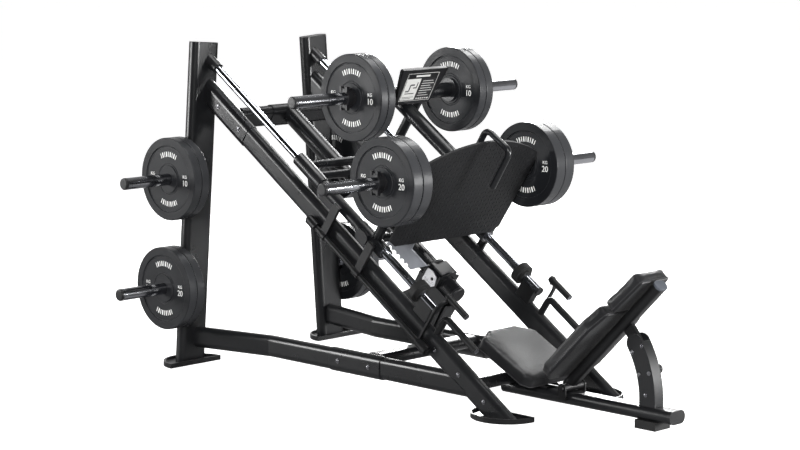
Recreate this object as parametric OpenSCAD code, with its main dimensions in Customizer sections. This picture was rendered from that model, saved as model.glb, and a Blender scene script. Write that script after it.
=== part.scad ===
// Plate-loaded incline leg press: a sled on two guide rods above sloping rails,
// with safety locks, storage horns, a hinged footplate, a seat and a reclining backrest.
// +Y points from the backrest to the uprights, +Z is up, X = 0 is the plane of symmetry.

/* [Sub-part] */
// Sub-part to draw, or all of them.

/* [Frame] */
// Angle of the rails and guide rods above the floor, degrees.
slope = 34.3; // [30:0.1:40]
// Inward lean of each upright, degrees.
lean = 4.15; // [0:0.05:8]
// Distance of each upright from the middle, measured on the floor.
upright_x = 415; // [380:1:460]
// Length of each upright along its own axis.
upright_len = 1364; // [1200:1:1500]
// Width of an upright's broad face.
upright_w = 140; // [100:1:160]
// Depth of an upright.
upright_d = 55; // [40:1:70]
// Height above the floor to which the foot plates are thick.
foot_t = 8; // [5:1:14]
// Height of the raised rim around each foot plate.
rim_h = 20; // [12:1:30]
// Radius of an upright's half-round foot plate.
upright_foot_r = 138; // [100:0.5:150]
// Radius of a rail's half-round foot plate.
rail_foot_r = 141; // [120:1:160]
// Distance of each rail from the middle.
rail_x = 305; // [280:1:340]
// Width of the rail and beam tube.
tube_w = 50; // [40:1:60]
// Depth of the rail tube.
rail_h = 95; // [80:1:110]
// Depth of the floor beams, the spine and the cross members.
beam_h = 90; // [70:1:100]
// Wall of the frame tubes.
wall = 3; // [2:0.5:5]
// Height of the floor beams' middle above the floor.
beam_z = 110; // [90:1:140]
// Outer diameter of the fixed centre beam.
centre_d = 76; // [60:1:90]

/* [Guide rods and sled] */
// Diameter of the chrome guide rods.
rod_d = 34; // [25:1:40]
// Distance of each guide rod from the middle.
rod_x = 302; // [280:1:320]
// Outer diameter of the sled's bearing housings.
housing_d = 60; // [50:1:70]
// Outer diameter of the tube that joins two housings.
slide_tube_d = 50; // [44:1:56]
// Outer diameter of the sled's cross tubes and centre tube.
sled_tube_d = 60; // [50:1:70]
// Diameter of the chrome plate horns.
horn_d = 50; // [48:0.5:51]
// Diameter of a weight plate.
plate_d = 350; // [300:5:450]
// Thickness of a weight plate.
plate_t = 40; // [30:1:60]
// Thickness of each plate on the lower sled horns.
low_plate_t = 53; // [40:1:60]

/* [Footplate] */
// Height of the footplate along its own face.
foot_h = 490; // [400:5:600]
// Half width of the footplate at its widest.
foot_half = 335; // [280:5:340]
// Thickness of the footplate.
foot_plate_t = 10; // [6:1:14]

/* [Seat and backrest] */
// Angle of the backrest above the floor, degrees.
back_angle = 45; // [38:0.5:50]
// Angle of the seat above the floor, degrees.
seat_angle = 27; // [20:0.5:32]
// Thickness of the pads.
pad_t = 56; // [40:1:65]
// Radius of the arc on which the backrest arm slides in its post.
arc_r = 386; // [370:1:400]
// Clearance between a bore and the pin, rod or horn in it.
fit = 0.3; // [0.05:0.05:0.5]

/* [Hidden] */
mid_y = 1009.75;
big = 3000;
corner = tube_w / 2 - 1;
rail_t = 932.5;
rod_t = 1047;
rod_low_s = -852;
upright_y = 28 + upright_d / 2;
sleeve_gap = 0.2;
sleeve_w = tube_w + 6 + 2 * sleeve_gap;
sleeve_h = rail_h + 6 + 2 * sleeve_gap;
base_sleeve_h = beam_h + 6 + 2 * sleeve_gap;
sleeve_in = rail_x - sleeve_w / 2;
rail_in = rail_x - tube_w / 2;
top_cross_s = 495;
bend_y = -350;
bend_angle = 12.5;
rear_cross_y = -935;
rear_cross_z = 133;
front_cross_y = -1455;
spine_z = 58;
spine_end = -2236;
centre_t = 948;
centre_low = -706;
up_horn_s = -31.5;
up_horn_t = 1453.4;
low_horn_s = -462;
low_horn_t = 1386.5;
up_flange_x = 242.5;
low_flange_x = 361;
up_tip = 632;
low_tip = 775;
plates_t = 2 * plate_t + 1;
low_plates_t = 2 * low_plate_t + 1;
flange_t = 8;
housing_up = [-85, 85];
housing_low = [-510, -350];
foot_s = -525;
foot_bottom_t = 1088;
foot_lean = 2;
handle_back = 50;
handle_front = -100;
handle_top = 517;
hinge_y = -1736;
hinge_z = 100;
pad_off = 43;
store_face = 84;
store_tip = 392;
store_heights = [797, 336];
shaft_x = 350;
shaft_t = 915;
shaft_d = 25;
grip_x = 303;
grip_t = 1132;
lever_reach = 150;
post_half = 25.5;
post_in = 352;
post_out = 427;
post_top_angle = 33.5;
arm_low_angle = -1;
pin_angle = 17;
hole_step = 5;
slide_bore = 44;

module placed() {
    translate([0, mid_y, 0]) children();
}

module on_slope() {
    rotate([slope, 0, 0]) children();
}

module both() {
    children();
    mirror([1, 0, 0]) children();
}

// Rounded rectangle made of true arcs.
module round_rect(w, h, r) {
    square([w - 2 * r, h], center = true);
    square([w, h - 2 * r], center = true);
    for (x = [-1, 1], y = [-1, 1]) {
        translate([x * (w / 2 - r), y * (h / 2 - r)]) circle(r);
    }
}

module hollow_rect(w, h, r, t) {
    difference() {
        round_rect(w, h, r);
        round_rect(w - 2 * t, h - 2 * t, r - t);
    }
}

module ring(outer_d, inner_d) {
    difference() {
        circle(d = outer_d);
        circle(d = inner_d);
    }
}

// Extrusions of a profile along each direction, from a start to an end.
module along_y(y0, y1) {
    translate([0, y1, 0]) rotate([90, 0, 0]) linear_extrude(y1 - y0) children();
}

module along_x(x0, x1) {
    translate([x0, 0, 0]) rotate([90, 0, 90]) linear_extrude(x1 - x0) children();
}

// Flat plate whose outline is given as (y, z), centred on a distance x.
module side_plate(x, t) {
    along_x(x - t / 2, x + t / 2) children();
}

module half_disc(r, inset) {
    intersection() {
        circle(r - inset);
        translate([-r, inset]) square([2 * r, r]);
    }
}

module foot_plate_solid(r) {
    linear_extrude(foot_t) half_disc(r, 0);
    linear_extrude(rim_h) difference() {
        half_disc(r, 0);
        half_disc(r, 6);
    }
}

module below_floor_plate() {
    translate([-big / 2, -big / 2 - 1000, foot_t - big]) cube(big);
}

module behind_upright_face() {
    translate([-big / 2, 28, -big / 2]) cube(big);
}

// ---------------------------------------------------------------- uprights
module upright_axis() {
    translate([-upright_x, upright_y, 0]) rotate([0, lean, 0]) children();
}

module upright() {
    difference() {
        upright_axis() translate([0, 0, -60])
            linear_extrude(upright_len + 60) hollow_rect(upright_w, upright_d, 25, wall);
        below_floor_plate();
        storage_bores();
    }
}

module upright_left() {
    color([0.08, 0.08, 0.09]) placed() upright();
}

module upright_right() {
    color([0.08, 0.08, 0.09]) placed() mirror([1, 0, 0]) upright();
}

module upright_caps() {
    color([0.05, 0.05, 0.05]) placed() both() upright_axis() translate([0, 0, upright_len]) {
        linear_extrude(4) round_rect(upright_w, upright_d, 25);
    }
}

module upright_feet() {
    color([0.06, 0.06, 0.07]) placed() both()
        translate([-upright_x - 12, 0, 0]) foot_plate_solid(upright_foot_r);
}

// ---------------------------------------------------------------- rails
module rail_solid(grow) {
    on_slope() translate([-rail_x, 0, rail_t]) along_y(-1460, 760)
        round_rect(tube_w + grow, rail_h + grow, corner + grow / 2);
}

module rail() {
    difference() {
        on_slope() translate([-rail_x, 0, rail_t]) along_y(-1460, 760)
            hollow_rect(tube_w, rail_h, corner, wall);
        behind_upright_face();
        below_floor_plate();
    }
}

module side_rail_left() {
    color([0.09, 0.09, 0.1]) placed() rail();
}

module side_rail_right() {
    color([0.09, 0.09, 0.1]) placed() mirror([1, 0, 0]) rail();
}

module rail_sleeves() {
    color([0.07, 0.07, 0.08]) placed() both() difference() {
        on_slope() translate([-rail_x, 0, rail_t]) along_y(374, 760)
            hollow_rect(sleeve_w, sleeve_h, corner + 3, 3);
        behind_upright_face();
    }
}

module rail_feet() {
    color([0.06, 0.06, 0.07]) placed() both()
        translate([-240.5, -1615, 0]) rotate([0, 0, 90]) foot_plate_solid(rail_foot_r);
}

// ---------------------------------------------------------------- floor beams
// Everything behind the mitre where a floor beam turns outwards, moved back by a weld gap.
module behind_mitre(gap) {
    translate([-rail_x, bend_y, -100]) rotate([0, 0, bend_angle / 2])
        translate([-300, gap, 0]) cube([600, 900, 200]);
}

module base_beam() {
    translate([0, 0, beam_z]) {
        difference() {
            translate([-rail_x, 0, 0]) along_y(-866, bend_y + 40)
                hollow_rect(tube_w, beam_h, corner, wall);
            behind_mitre(0);
        }
        difference() {
            intersection() {
                translate([-rail_x, bend_y, 0]) rotate([0, 0, bend_angle]) along_y(-40, 430)
                    hollow_rect(tube_w, beam_h, corner, wall);
                behind_mitre(0.05);
            }
            behind_upright_face();
        }
    }
}

module base_beam_left() {
    color([0.1, 0.1, 0.11]) placed() base_beam();
}

module base_beam_right() {
    color([0.1, 0.1, 0.11]) placed() mirror([1, 0, 0]) base_beam();
}

module base_sleeves() {
    color([0.07, 0.07, 0.08]) placed() both()
        translate([-rail_x, 0, beam_z]) along_y(-1012, -721)
        hollow_rect(sleeve_w, base_sleeve_h, corner + 3, 3);
}

module front_base_beams() {
    color([0.1, 0.1, 0.11]) placed() both() difference() {
        translate([-rail_x, 0, beam_z]) along_y(-1500, -868)
            hollow_rect(tube_w, beam_h, corner, wall);
        rail_solid(0);
        on_slope() translate([-big / 2, -big, rail_t - rail_h / 2 + corner]) cube(big);
    }
}

module rear_cross_member() {
    color([0.09, 0.09, 0.1]) placed() translate([0, rear_cross_y, rear_cross_z])
        along_x(-sleeve_in, sleeve_in) hollow_rect(beam_h, tube_w, corner, wall);
}

module front_cross_member() {
    color([0.09, 0.09, 0.1]) placed() translate([0, front_cross_y, spine_z + tube_w])
        along_x(-rail_in, rail_in) hollow_rect(beam_h, tube_w, corner, wall);
}

// ---------------------------------------------------------------- centre beam and top
module top_cross_solid(grow) {
    on_slope() translate([0, top_cross_s, rail_t]) along_x(-110, 110)
        round_rect(sleeve_w + grow, sleeve_h + grow, corner + 3 + grow / 2);
}

module top_cross_sleeve() {
    color([0.07, 0.07, 0.08]) placed() on_slope() translate([0, top_cross_s, rail_t])
        along_x(-110, 110) hollow_rect(sleeve_w, sleeve_h, corner + 3, 3);
}

module top_cross_stubs() {
    color([0.09, 0.09, 0.1]) placed() both() on_slope() translate([0, top_cross_s, rail_t])
        along_x(-sleeve_in, -20) hollow_rect(tube_w, rail_h, corner, wall);
}

module centre_beam() {
    color([0.12, 0.12, 0.13]) placed() difference() {
        on_slope() translate([0, 0, centre_t]) along_y(centre_low, top_cross_s)
            ring(centre_d, centre_d - 2 * wall);
        top_cross_solid(0);
    }
}

module tube_end_caps() {
    color([0.05, 0.05, 0.05]) placed() {
        on_slope() translate([0, centre_low, centre_t]) rotate([90, 0, 0]) rotate_extrude() {
            square([centre_d / 2 - 6, 14]);
            square([centre_d / 2, 8]);
            translate([centre_d / 2 - 6, 8]) circle(6);
        }
        translate([0, 0, spine_z]) along_y(spine_end - 14, spine_end)
            round_rect(beam_h + 2, tube_w + 2, corner);
    }
}

module centre_post() {
    color([0.08, 0.08, 0.09]) placed() difference() {
        union() {
            for (x = [-34, 34]) {
                side_plate(x, 8) difference() {
                    polygon([[-978, 158], [-892, 158], [-812, 352], [-905, 392], [-950, 470],
                        [-1098, 370]]);
                    rotate(slope) translate([-big / 2, centre_t - 10]) square([big, 200]);
                }
            }
            side_plate(0, 62) polygon([[-978, 158], [-968, 158], [-1088, 335], [-1098, 335]]);
        }
        on_slope() translate([0, 0, centre_t]) along_y(-900, 100) circle(d = centre_d);
    }
}

module centre_bracket() {
    color([0.05, 0.05, 0.06]) placed() on_slope() translate([0, 0, centre_t]) {
        for (s = [-640, -560]) {
            along_y(s, s + 8) difference() {
                union() {
                    circle(d = centre_d + 36);
                    translate([0, 10]) square([centre_d + 36, 50], center = true);
                }
                circle(d = centre_d + 0.4);
                translate([-200, -400]) square([400, 385]);
            }
        }
        along_y(-632, -560) difference() {
            translate([0, 44]) square([centre_d + 10, 8], center = true);
            circle(d = centre_d + 0.4);
        }
    }
}

// ---------------------------------------------------------------- spine
module spine() {
    color([0.1, 0.1, 0.11]) placed() translate([0, 0, spine_z])
        along_y(spine_end, -1405) hollow_rect(beam_h, tube_w, corner, wall);
}

module spine_foot() {
    color([0.03, 0.03, 0.03]) placed() translate([0, -2132, (spine_z - tube_w / 2) / 2])
        cube([beam_h, 98, spine_z - tube_w / 2], center = true);
}

// ---------------------------------------------------------------- guide rods
module rod_line() {
    on_slope() translate([-rod_x, 0, rod_t]) children();
}

module guide_rods() {
    color([0.8, 0.8, 0.82]) placed() both() difference() {
        rod_line() along_y(rod_low_s, 790) circle(d = rod_d);
        behind_upright_face();
    }
}

module rod_collars() {
    color([0.05, 0.05, 0.05]) placed() both() {
        difference() {
            rod_line() along_y(690, 790) ring(rod_d + 14, rod_d + 0.1);
            behind_upright_face();
        }
        rod_line() along_y(rod_low_s - 10, rod_low_s) circle(d = rod_d + 4);
    }
}

module rod_bumpers() {
    color([0.03, 0.03, 0.03]) placed() both() rod_line() {
        along_y(-756, -727) ring(90, rod_d + 0.1);
        along_y(-769, -756) ring(58, rod_d + 0.1);
    }
}

module rod_brackets() {
    color([0.07, 0.07, 0.08]) placed() both() on_slope()
        translate([-rod_x, 0, 0]) along_y(-848, -772) difference() {
            translate([-18, rail_t + rail_h / 2 - 20]) square([36, rod_t - rail_t - rail_h / 2 + 16]);
            translate([0, rod_t]) circle(d = rod_d + 0.1);
            translate([rod_x - rail_x, rail_t]) round_rect(tube_w, rail_h, corner);
        }
}

// ---------------------------------------------------------------- storage horns
// Level axis of a storage horn at a height, pointing outwards.
module storage_axis(h) {
    translate([h * tan(lean) - upright_x, upright_y, h]) rotate([0, -90, 0]) children();
}

module storage_bores() {
    for (h = store_heights) storage_axis(h) cylinder(d = horn_d + 0.1, h = 160);
}

module storage_horns() {
    color([0.8, 0.8, 0.82]) placed() both() for (h = store_heights) storage_axis(h) {
        translate([0, 0, 30]) cylinder(d = horn_d, h = store_tip - 30);
        translate([0, 0, 74]) cylinder(d = 72, h = store_face - 74.5);
    }
}

module storage_horn_caps() {
    color([0.03, 0.03, 0.03]) placed() both() for (h = store_heights) storage_axis(h)
        translate([0, 0, store_tip]) cap_solid();
}

module cap_solid() {
    rotate_extrude() {
        square([horn_d / 2 - 6, 12]);
        square([horn_d / 2, 6]);
        translate([horn_d / 2 - 6, 6]) circle(6);
    }
}

// One weight plate standing on z = 0 with its bore on the z axis.
module weight_plate(t) {
    difference() {
        union() {
            cylinder(d = plate_d - 8, h = t);
            translate([0, 0, 4]) cylinder(d = plate_d, h = t - 8);
            rotate_extrude() translate([plate_d / 2 - 4, 4]) circle(4);
            rotate_extrude() translate([plate_d / 2 - 4, t - 4]) circle(4);
        }
        translate([0, 0, -1]) cylinder(d = horn_d + 2 * fit, h = t + 2);
        for (z = [-1, t - 5]) translate([0, 0, z]) rotate_extrude()
            translate([58, 0]) square([84, 6]);
    }
}

module plate_pair(t) {
    weight_plate(t);
    translate([0, 0, t + 1]) weight_plate(t);
}

module storage_plates() {
    color([0.08, 0.08, 0.09]) placed() both() for (h = store_heights) storage_axis(h)
        translate([0, 0, store_face]) plate_pair(plate_t);
}

// ---------------------------------------------------------------- bolts and side handles
module bolt_head(r) {
    cylinder(r = r + 3, h = 2);
    cylinder(r = r, h = 6);
}

module side_bolt(x, y, z) {
    translate([-x, y, z]) rotate([0, -90, 0]) bolt_head(8);
}

module frame_bolts() {
    color([0.7, 0.7, 0.72]) placed() both() {
        for (p = [[-53, 1098], [-179, 1011]]) side_bolt(rail_x + sleeve_w / 2, p[0], p[1]);
        for (p = [[-1316, 229.6], [-1442, 151], [-1576, 64]])
            side_bolt(rail_x + tube_w / 2, p[0], p[1]);
        for (y = [-773, -949]) side_bolt(rail_x + sleeve_w / 2, y, beam_z);
        for (p = [[417, 30.4], [364, 30], [363, 16], [412, 15.7], [383, 4]])
            translate([-post_half, hinge_y - p[0] * cos(p[1]), hinge_z + p[0] * sin(p[1])])
            rotate([0, -90, 0]) bolt_head(5);
    }
}

module side_handle_path() {
    translate([-rail_x, -914, 0]) {
        translate([0, 0, rail_t]) cylinder(d = 28, h = 1036 - rail_t);
        translate([0, -22, 1036]) rotate([90, 0, 90]) rotate_extrude(angle = 90)
            translate([22, 0]) circle(d = 28);
        translate([0, 0, 1058]) along_y(-190, -22) circle(d = 28);
    }
}

module side_handles() {
    color([0.06, 0.06, 0.07]) placed() both() difference() {
        on_slope() side_handle_path();
        rail_solid(0);
    }
}

module side_handle_caps() {
    color([0.03, 0.03, 0.03]) placed() both() on_slope() translate([-rail_x, 0, 1058])
        along_y(-1110, -1104) circle(d = 30);
}

// ---------------------------------------------------------------- safety locks
module shaft_line() {
    on_slope() translate([-shaft_x, 0, shaft_t]) children();
}

module lock_brackets() {
    color([0.05, 0.05, 0.06]) placed() both() difference() {
        on_slope() for (s = [-190, -942]) {
            translate([-shaft_x, s, shaft_t]) along_y(0, 52) union() {
                ring(shaft_d + 16, shaft_d + 2 * fit);
                difference() {
                    translate([0, -12]) square([30, 24]);
                    circle(d = shaft_d + 2 * fit);
                }
            }
        }
        rail_solid(0);
    }
}

module catch_bar(s) {
    translate([0, s, 0]) rotate([90, 0, 0]) linear_extrude(36) difference() {
        union() {
            circle(d = shaft_d + 12);
            translate([-8, 0]) square([13, 150]);
        }
        circle(d = shaft_d - 1);
    }
}

module lock_solid() {
    shaft_line() {
        along_y(-950, -128) circle(d = shaft_d);
        catch_bar(-218);
        catch_bar(-453);
        translate([0, -880, 0]) rotate([90, 0, 0]) linear_extrude(8) difference() {
            union() {
                circle(d = shaft_d + 14);
                translate([-8, 0]) square([16, lever_reach]);
                difference() {
                    translate([52, lever_reach]) circle(60);
                    translate([52, lever_reach]) circle(44);
                    translate([-100, 0]) square([400, lever_reach]);
                    translate([shaft_x - grip_x, lever_reach]) square([200, 200]);
                }
                translate([shaft_x - grip_x, grip_t - shaft_t]) circle(16);
            }
            circle(d = shaft_d - 1);
        }
    }
}

module lock_left() {
    color([0.07, 0.07, 0.08]) placed() {
        lock_solid();
        grip_solid();
    }
}

module lock_right() {
    color([0.07, 0.07, 0.08]) placed() mirror([1, 0, 0]) {
        lock_solid();
        grip_solid();
    }
}

module grip_solid() {
    on_slope() translate([-grip_x, 0, grip_t]) {
        along_y(-996, -888) ring(27, 21);
        along_y(-880, -872) circle(d = 27);
    }
}

// ---------------------------------------------------------------- seat
module seat_place() {
    translate([0, -1364, 291]) rotate([seat_angle, 0, 0]) children();
}

module seat_pad() {
    color([0.12, 0.12, 0.13]) placed() seat_place() translate([0, 0, -pad_t])
        linear_extrude(pad_t - 4)
        polygon([[-77, 0], [77, 0], [148, -42], [158, -56], [158, -300], [130, -330],
            [-130, -330], [-158, -300], [-158, -56], [-148, -42]]);
}

module seat_bracket() {
    color([0.07, 0.07, 0.08]) placed() difference() {
        for (x = [-34, 34]) {
            side_plate(x, 6) polygon([[-1640, 83], [-1515, 83], [-1503, 140], [-1420, 205],
                [-1420, 330], [-1700, 200]]);
        }
        seat_place() translate([-200, -500, -pad_t]) cube([400, 700, 400]);
    }
    color([0.07, 0.07, 0.08]) placed() seat_place()
        translate([-60, -270, -pad_t - 5]) cube([120, 200, 5]);
}

// ---------------------------------------------------------------- backrest
module hinge_frame() {
    translate([0, hinge_y, hinge_z]) children();
}

// Local frame of the backrest: x across, y up the backrest, z out of its face.
module back_frame() {
    hinge_frame() rotate([-back_angle, 0, 0]) mirror([0, 1, 0]) children();
}

module backrest_bracket() {
    color([0.06, 0.06, 0.07]) placed() for (x = [-58, 58]) {
        side_plate(x, 6) difference() {
            union() {
                translate([hinge_y, hinge_z]) circle(19);
                translate([hinge_y - 19, 62]) square([38, hinge_z - 62]);
            }
            translate([hinge_y, hinge_z]) circle(d = 16.1);
        }
    }
    color([0.06, 0.06, 0.07]) placed() both() translate([-61, hinge_y - 19, 55])
        cube([61 - beam_h / 2, 38, 7]);
}

module backrest_pin() {
    color([0.7, 0.7, 0.72]) placed() hinge_frame() {
        along_x(-66, 66) circle(d = 16);
        for (x = [-70, 62]) along_x(x, x + 8) circle(d = 24);
    }
}

module post_sector(r0, r1, a0, a1) {
    translate([hinge_y, hinge_z]) difference() {
        circle(r1);
        circle(r0);
        rotate(180 - a1) translate([-600, -600]) square([1200, 600]);
        rotate(180 - a0) translate([-600, 0]) square([1200, 600]);
    }
}

module backrest_post() {
    mid_r = (post_in + post_out) / 2;
    color([0.08, 0.08, 0.09]) placed() difference() {
        union() {
            for (x = [2.5 - post_half, post_half - 2.5]) side_plate(x, 5) {
                post_sector(post_in, post_out, -8, post_top_angle);
                translate([hinge_y - mid_r * cos(post_top_angle),
                    hinge_z + mid_r * sin(post_top_angle)]) circle(post_out - mid_r);
            }
            side_plate(0, 2 * post_half - 8)
                post_sector(post_out - 6, post_out, -8, post_top_angle - 1);
            difference() {
                side_plate(0, 2 * post_half - 8)
                    post_sector(post_in + 1, post_out - 3, pin_angle - 4, pin_angle + 4);
                side_plate(0, 16 + 2 * fit)
                    post_sector(arc_r - 25 - fit, arc_r + 25 + fit, 0, 60);
            }
            pin_axis() translate([0, 0, 3]) cylinder(d = 26, h = 7);
        }
        translate([-200, hinge_y - 600, -317]) cube([400, 600, 400]);
        pin_axis() translate([0, 0, -14]) cylinder(d = 12.6, h = 40);
    }
}

// Axis of the spring plunger, pointing out of the right side of the post.
module pin_axis() {
    translate([post_half - 4, hinge_y - arc_r * cos(pin_angle),
        hinge_z + arc_r * sin(pin_angle)]) rotate([0, 90, 0]) children();
}

module pop_pin() {
    color([0.05, 0.05, 0.05]) placed() pin_axis() {
        translate([0, 0, -11.5]) cylinder(d = 12, h = 50);
        translate([0, 0, 29]) cylinder(d = 20, h = 6);
        translate([0, 0, 35]) cylinder(d = 36, h = 14);
    }
}

module backrest_frame() {
    color([0.1, 0.1, 0.11]) placed() {
        back_frame() difference() {
            translate([0, 610, 14]) rotate([90, 0, 0]) linear_extrude(618)
                hollow_rect(60, 44, 21, wall);
            along_x(-40, 40) circle(d = 30);
        }
        back_frame() translate([0, 618, 14]) rotate([90, 0, 0]) linear_extrude(8)
            round_rect(61, 45, 22);
        hinge_frame() along_x(-54, 54) ring(32, 16 + 2 * fit);
    }
}

module backrest_arm() {
    color([0.06, 0.06, 0.07]) placed() difference() {
        side_plate(0, 16) post_sector(arc_r - 25, arc_r + 25, arm_low_angle, 60);
        back_frame() translate([0, 400, 14]) rotate([90, 0, 0]) linear_extrude(1000, center = true)
            round_rect(60, 44, 21);
        back_frame() translate([-100, 0, 14]) cube([200, 700, 300]);
        for (i = [0 : 3]) hinge_frame()
            rotate([hole_step * i - pin_angle, 0, 0]) translate([-20, -arc_r, 0])
            rotate([0, 90, 0]) cylinder(d = 13, h = 40);
    }
}

module pad_body() {
    translate([0, 0, pad_off - 4]) linear_extrude(pad_t) children();
}

module backrest_pad() {
    color([0.12, 0.12, 0.13]) placed() back_frame() pad_body()
        polygon([[-120, 12], [120, 12], [150, 60], [150, 330], [118, 424], [-118, 424],
            [-150, 330], [-150, 60]]);
}

module headrest_pad() {
    color([0.12, 0.12, 0.13]) placed() back_frame() pad_body()
        polygon([[-106, 430], [106, 430], [85, 612], [-85, 612]]);
}

// ---------------------------------------------------------------- sled
module slide_line() {
    on_slope() translate([-rod_x, 0, rod_t]) children();
}

module slide_tubes() {
    color([0.06, 0.06, 0.07]) placed() both() slide_line() difference() {
        union() {
            along_y(housing_low[0], housing_up[1]) circle(d = slide_tube_d);
            along_y(housing_up[0], housing_up[1]) circle(d = housing_d);
            along_y(housing_low[0], housing_low[1]) circle(d = housing_d);
            along_x(-41, -20) polygon([[-436, -20], [-426, -32], [-382, -32], [-368, -14],
                [-368, 8], [-382, 20], [-426, 20], [-436, 8]]);
        }
        along_y(housing_low[0] - 5, housing_up[1] + 5) circle(d = slide_bore);
    }
}

module linear_bushings() {
    color([0.75, 0.7, 0.5]) placed() both() slide_line()
        for (s = [housing_low[0], housing_low[1] - 32, housing_up[0], housing_up[1] - 32])
            along_y(s, s + 32) ring(slide_bore, rod_d + 2 * fit);
}

module sled_cross_tubes() {
    color([0.08, 0.08, 0.09]) placed() difference() {
        on_slope() for (s = [38, up_horn_s, -430]) translate([0, s, rod_t])
            along_x(-rod_x, rod_x) ring(36, 30);
        both() slide_line() along_y(-600, 200) circle(d = housing_d);
    }
}

module horn_tube_solid(grow) {
    on_slope() {
        translate([0, up_horn_s, up_horn_t]) along_x(-up_flange_x, up_flange_x)
            circle(d = sled_tube_d + grow);
        translate([0, low_horn_s, low_horn_t]) along_x(-low_flange_x, low_flange_x)
            circle(d = sled_tube_d + grow);
    }
}

module horn_tube_at(s, t, half) {
    on_slope() translate([0, s, t]) {
        along_x(flange_t - half, half - flange_t) ring(sled_tube_d, sled_tube_d - 8);
        both() along_x(half - flange_t, half) circle(d = 96);
    }
}

module horn_tubes() {
    color([0.07, 0.07, 0.08]) placed() {
        horn_tube_at(up_horn_s, up_horn_t, up_flange_x);
        horn_tube_at(low_horn_s, low_horn_t, low_flange_x);
    }
}

module sled_struts() {
    color([0.09, 0.09, 0.1]) placed() difference() {
        on_slope() {
            both() translate([-85, up_horn_s, rod_t]) cylinder(d = 40, h = up_horn_t - rod_t);
            both() translate([-rod_x, -446, rod_t]) cylinder(d = 40, h = low_horn_t - rod_t);
            translate([0, 0, 1396]) along_y(low_horn_s, 22) circle(d = sled_tube_d);
        }
        on_slope() translate([0, 0, 1396]) along_y(low_horn_s - 5, 14)
            circle(d = sled_tube_d - 6);
        horn_tube_solid(0);
        on_slope() translate([0, up_horn_s, rod_t]) along_x(-rod_x, rod_x) circle(d = 36);
        both() slide_line() along_y(-600, 200) circle(d = housing_d);
    }
}

module sled_rack() {
    color([0.45, 0.46, 0.5]) placed() difference() {
        on_slope() side_plate(-65, 8) difference() {
            polygon([[-561, 985], [-500, 912], [-335, 912], [-335, 985], [-405, 985],
                [-405, 1047], [-455, 1047], [-455, 985]]);
            for (s = [-360 : -28 : -480]) translate([s, 910]) circle(11);
        }
        on_slope() translate([0, -430, rod_t]) along_x(-rod_x, rod_x) circle(d = 36);
    }
}

module catch_ear() {
    color([0.75, 0.75, 0.78]) placed() on_slope() side_plate(-51, 6) difference() {
        polygon([[-560, 915], [-560, 974], [-592, 980], [-622, 972], [-632, 935], [-590, 890]]);
        translate([-604, 950]) circle(7);
    }
}

module horn_places() {
    on_slope() {
        translate([0, up_horn_s, up_horn_t]) rotate([0, -90, 0]) translate([0, 0, up_flange_x])
            children(0);
        translate([0, low_horn_s, low_horn_t]) rotate([0, -90, 0])
            translate([0, 0, low_flange_x]) children(1);
    }
}

module sled_horns() {
    color([0.8, 0.8, 0.82]) placed() both() horn_places() {
        cylinder(d = horn_d, h = up_tip - up_flange_x);
        cylinder(d = horn_d, h = low_tip - low_flange_x);
    }
}

module sled_horn_caps() {
    color([0.03, 0.03, 0.03]) placed() both() horn_places() {
        translate([0, 0, up_tip - up_flange_x]) cap_solid();
        translate([0, 0, low_tip - low_flange_x]) cap_solid();
    }
}

module sled_plates() {
    color([0.08, 0.08, 0.09]) placed() both() horn_places() {
        translate([0, 0, 1]) plate_pair(plate_t);
        translate([0, 0, 1]) plate_pair(low_plate_t);
    }
}

// Locking jaw collar, with a pair of prongs above and below at its outer end.
module clamp() {
    difference() {
        union() {
            translate([0, 0, 3]) cylinder(d = 66, h = 35);
            cylinder(d = 74, h = 6);
            for (side = [-1, 1]) rotate(slope) {
                translate([side * 29 - 10, -15, 8]) cube([20, 30, 28]);
                for (y = [-16, 16]) translate([side * 33.5 - 13.5, y - 5, 24])
                    cube([27, 10, 15]);
            }
        }
        translate([0, 0, -1]) cylinder(d = horn_d + 0.1, h = 42);
    }
}

module plate_collars() {
    color([0.04, 0.04, 0.04]) placed() both() horn_places() {
        translate([0, 0, plates_t + 2.5]) clamp();
        translate([0, 0, low_plates_t + 2.5]) clamp();
    }
}

module placard_frame() {
    on_slope() translate([0, up_horn_s - 43.5, up_horn_t - 22]) rotate([-5.2, 0, 0]) children();
}

module placard() {
    color([0.15, 0.15, 0.16]) placed() {
        difference() {
            placard_frame() {
                translate([0, 5, 0]) rotate([90, 0, 0]) linear_extrude(5)
                    polygon([[-89, 0], [89, 0], [96, 8], [131, 158], [125, 165], [-125, 165],
                        [-131, 158], [-96, 8]]);
                translate([-25, 4, 10]) cube([50, 24, 28]);
            }
            horn_tube_solid(0);
        }
    }
}

// ---------------------------------------------------------------- footplate
module foot_frame() {
    on_slope() translate([0, foot_s, foot_bottom_t]) rotate([-foot_lean, 0, 0]) children();
}

module foot_outline() {
    intersection() {
        translate([0, foot_h - 672]) circle(672);
        polygon([[-280, 0], [280, 0], [318, 26], [foot_half, 372], [foot_half - 12, 402],
            [foot_half - 45, 460], [0, 700], [45 - foot_half, 460], [12 - foot_half, 402],
            [-foot_half, 372], [-318, 26]]);
    }
}

module footplate() {
    color([0.13, 0.13, 0.14]) placed() foot_frame() translate([0, foot_plate_t, 0])
        rotate([90, 0, 0]) linear_extrude(foot_plate_t) foot_outline();
}

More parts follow.
